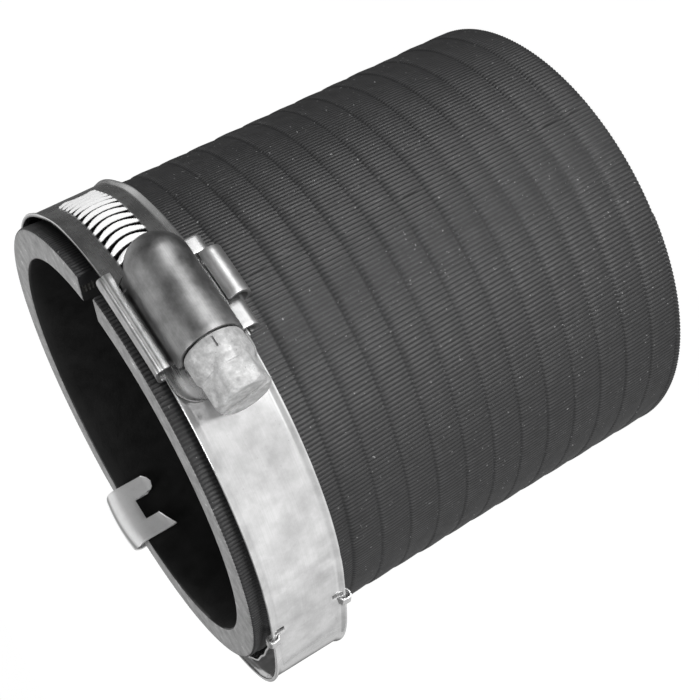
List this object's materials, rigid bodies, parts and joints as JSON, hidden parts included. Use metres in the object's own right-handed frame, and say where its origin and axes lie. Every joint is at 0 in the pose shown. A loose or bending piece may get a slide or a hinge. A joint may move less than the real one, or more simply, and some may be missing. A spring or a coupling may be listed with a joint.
{
  "type": "hose coupling",
  "caption": "Short reinforced rubber hose sleeve with a worm-drive band clamp near one end, for joining pipes.",
  "frame": {"origin": "centre of the bore at the plain end face, where the pipe enters", "axes": "+Z along the bore from the plain end to the clamped end, -Y through the clamp housing, -X towards the screw head"},
  "size_m": [0.0745, 0.0807, 0.077],
  "materials": {
    "inner_rubber": "smooth",
    "woven_ply": "woven, rubber-soaked",
    "outer_rubber": "finely ribbed wrap finish",
    "band_steel": "bright rolled stainless",
    "tail_steel": "bright rolled stainless",
    "liner_steel": "spring steel",
    "clip_steel": "bright spring steel",
    "housing_steel": "drawn stainless",
    "saddle_steel": "stamped stainless",
    "screw_zinc": "zinc-plated, matt"
  },
  "bodies": {
    "sleeve": {"hose_liner": "inner_rubber", "inner_ply": "woven_ply", "outer_ply": "woven_ply", "hose_cover": "outer_rubber", "clamp_band": "band_steel", "spring_liner": "liner_steel", "retaining_clip": "clip_steel", "clamp_housing": "housing_steel", "housing_saddle": "saddle_steel"},
    "worm": {"worm_screw": "screw_zinc"},
    "tail": {"band_tail": "tail_steel"}
  },
  "joints": [
    {"name": "worm_turn", "type": "hinge", "parent": "sleeve", "child": "worm", "pos_m": [0, -0.0402, 0.0671], "axis": [1, 0, 0], "range_deg": [-720, 1440]},
    {"name": "band_feed", "type": "hinge", "parent": "sleeve", "child": "tail", "pos_m": [0, 0, 0.0671], "axis": [0, 0, -1], "range_deg": [-5.45, 10.9]}
  ],
  "couplings": [
    {"joint": "band_feed", "follows": "worm_turn", "ratio": 0.0075073}
  ]
}
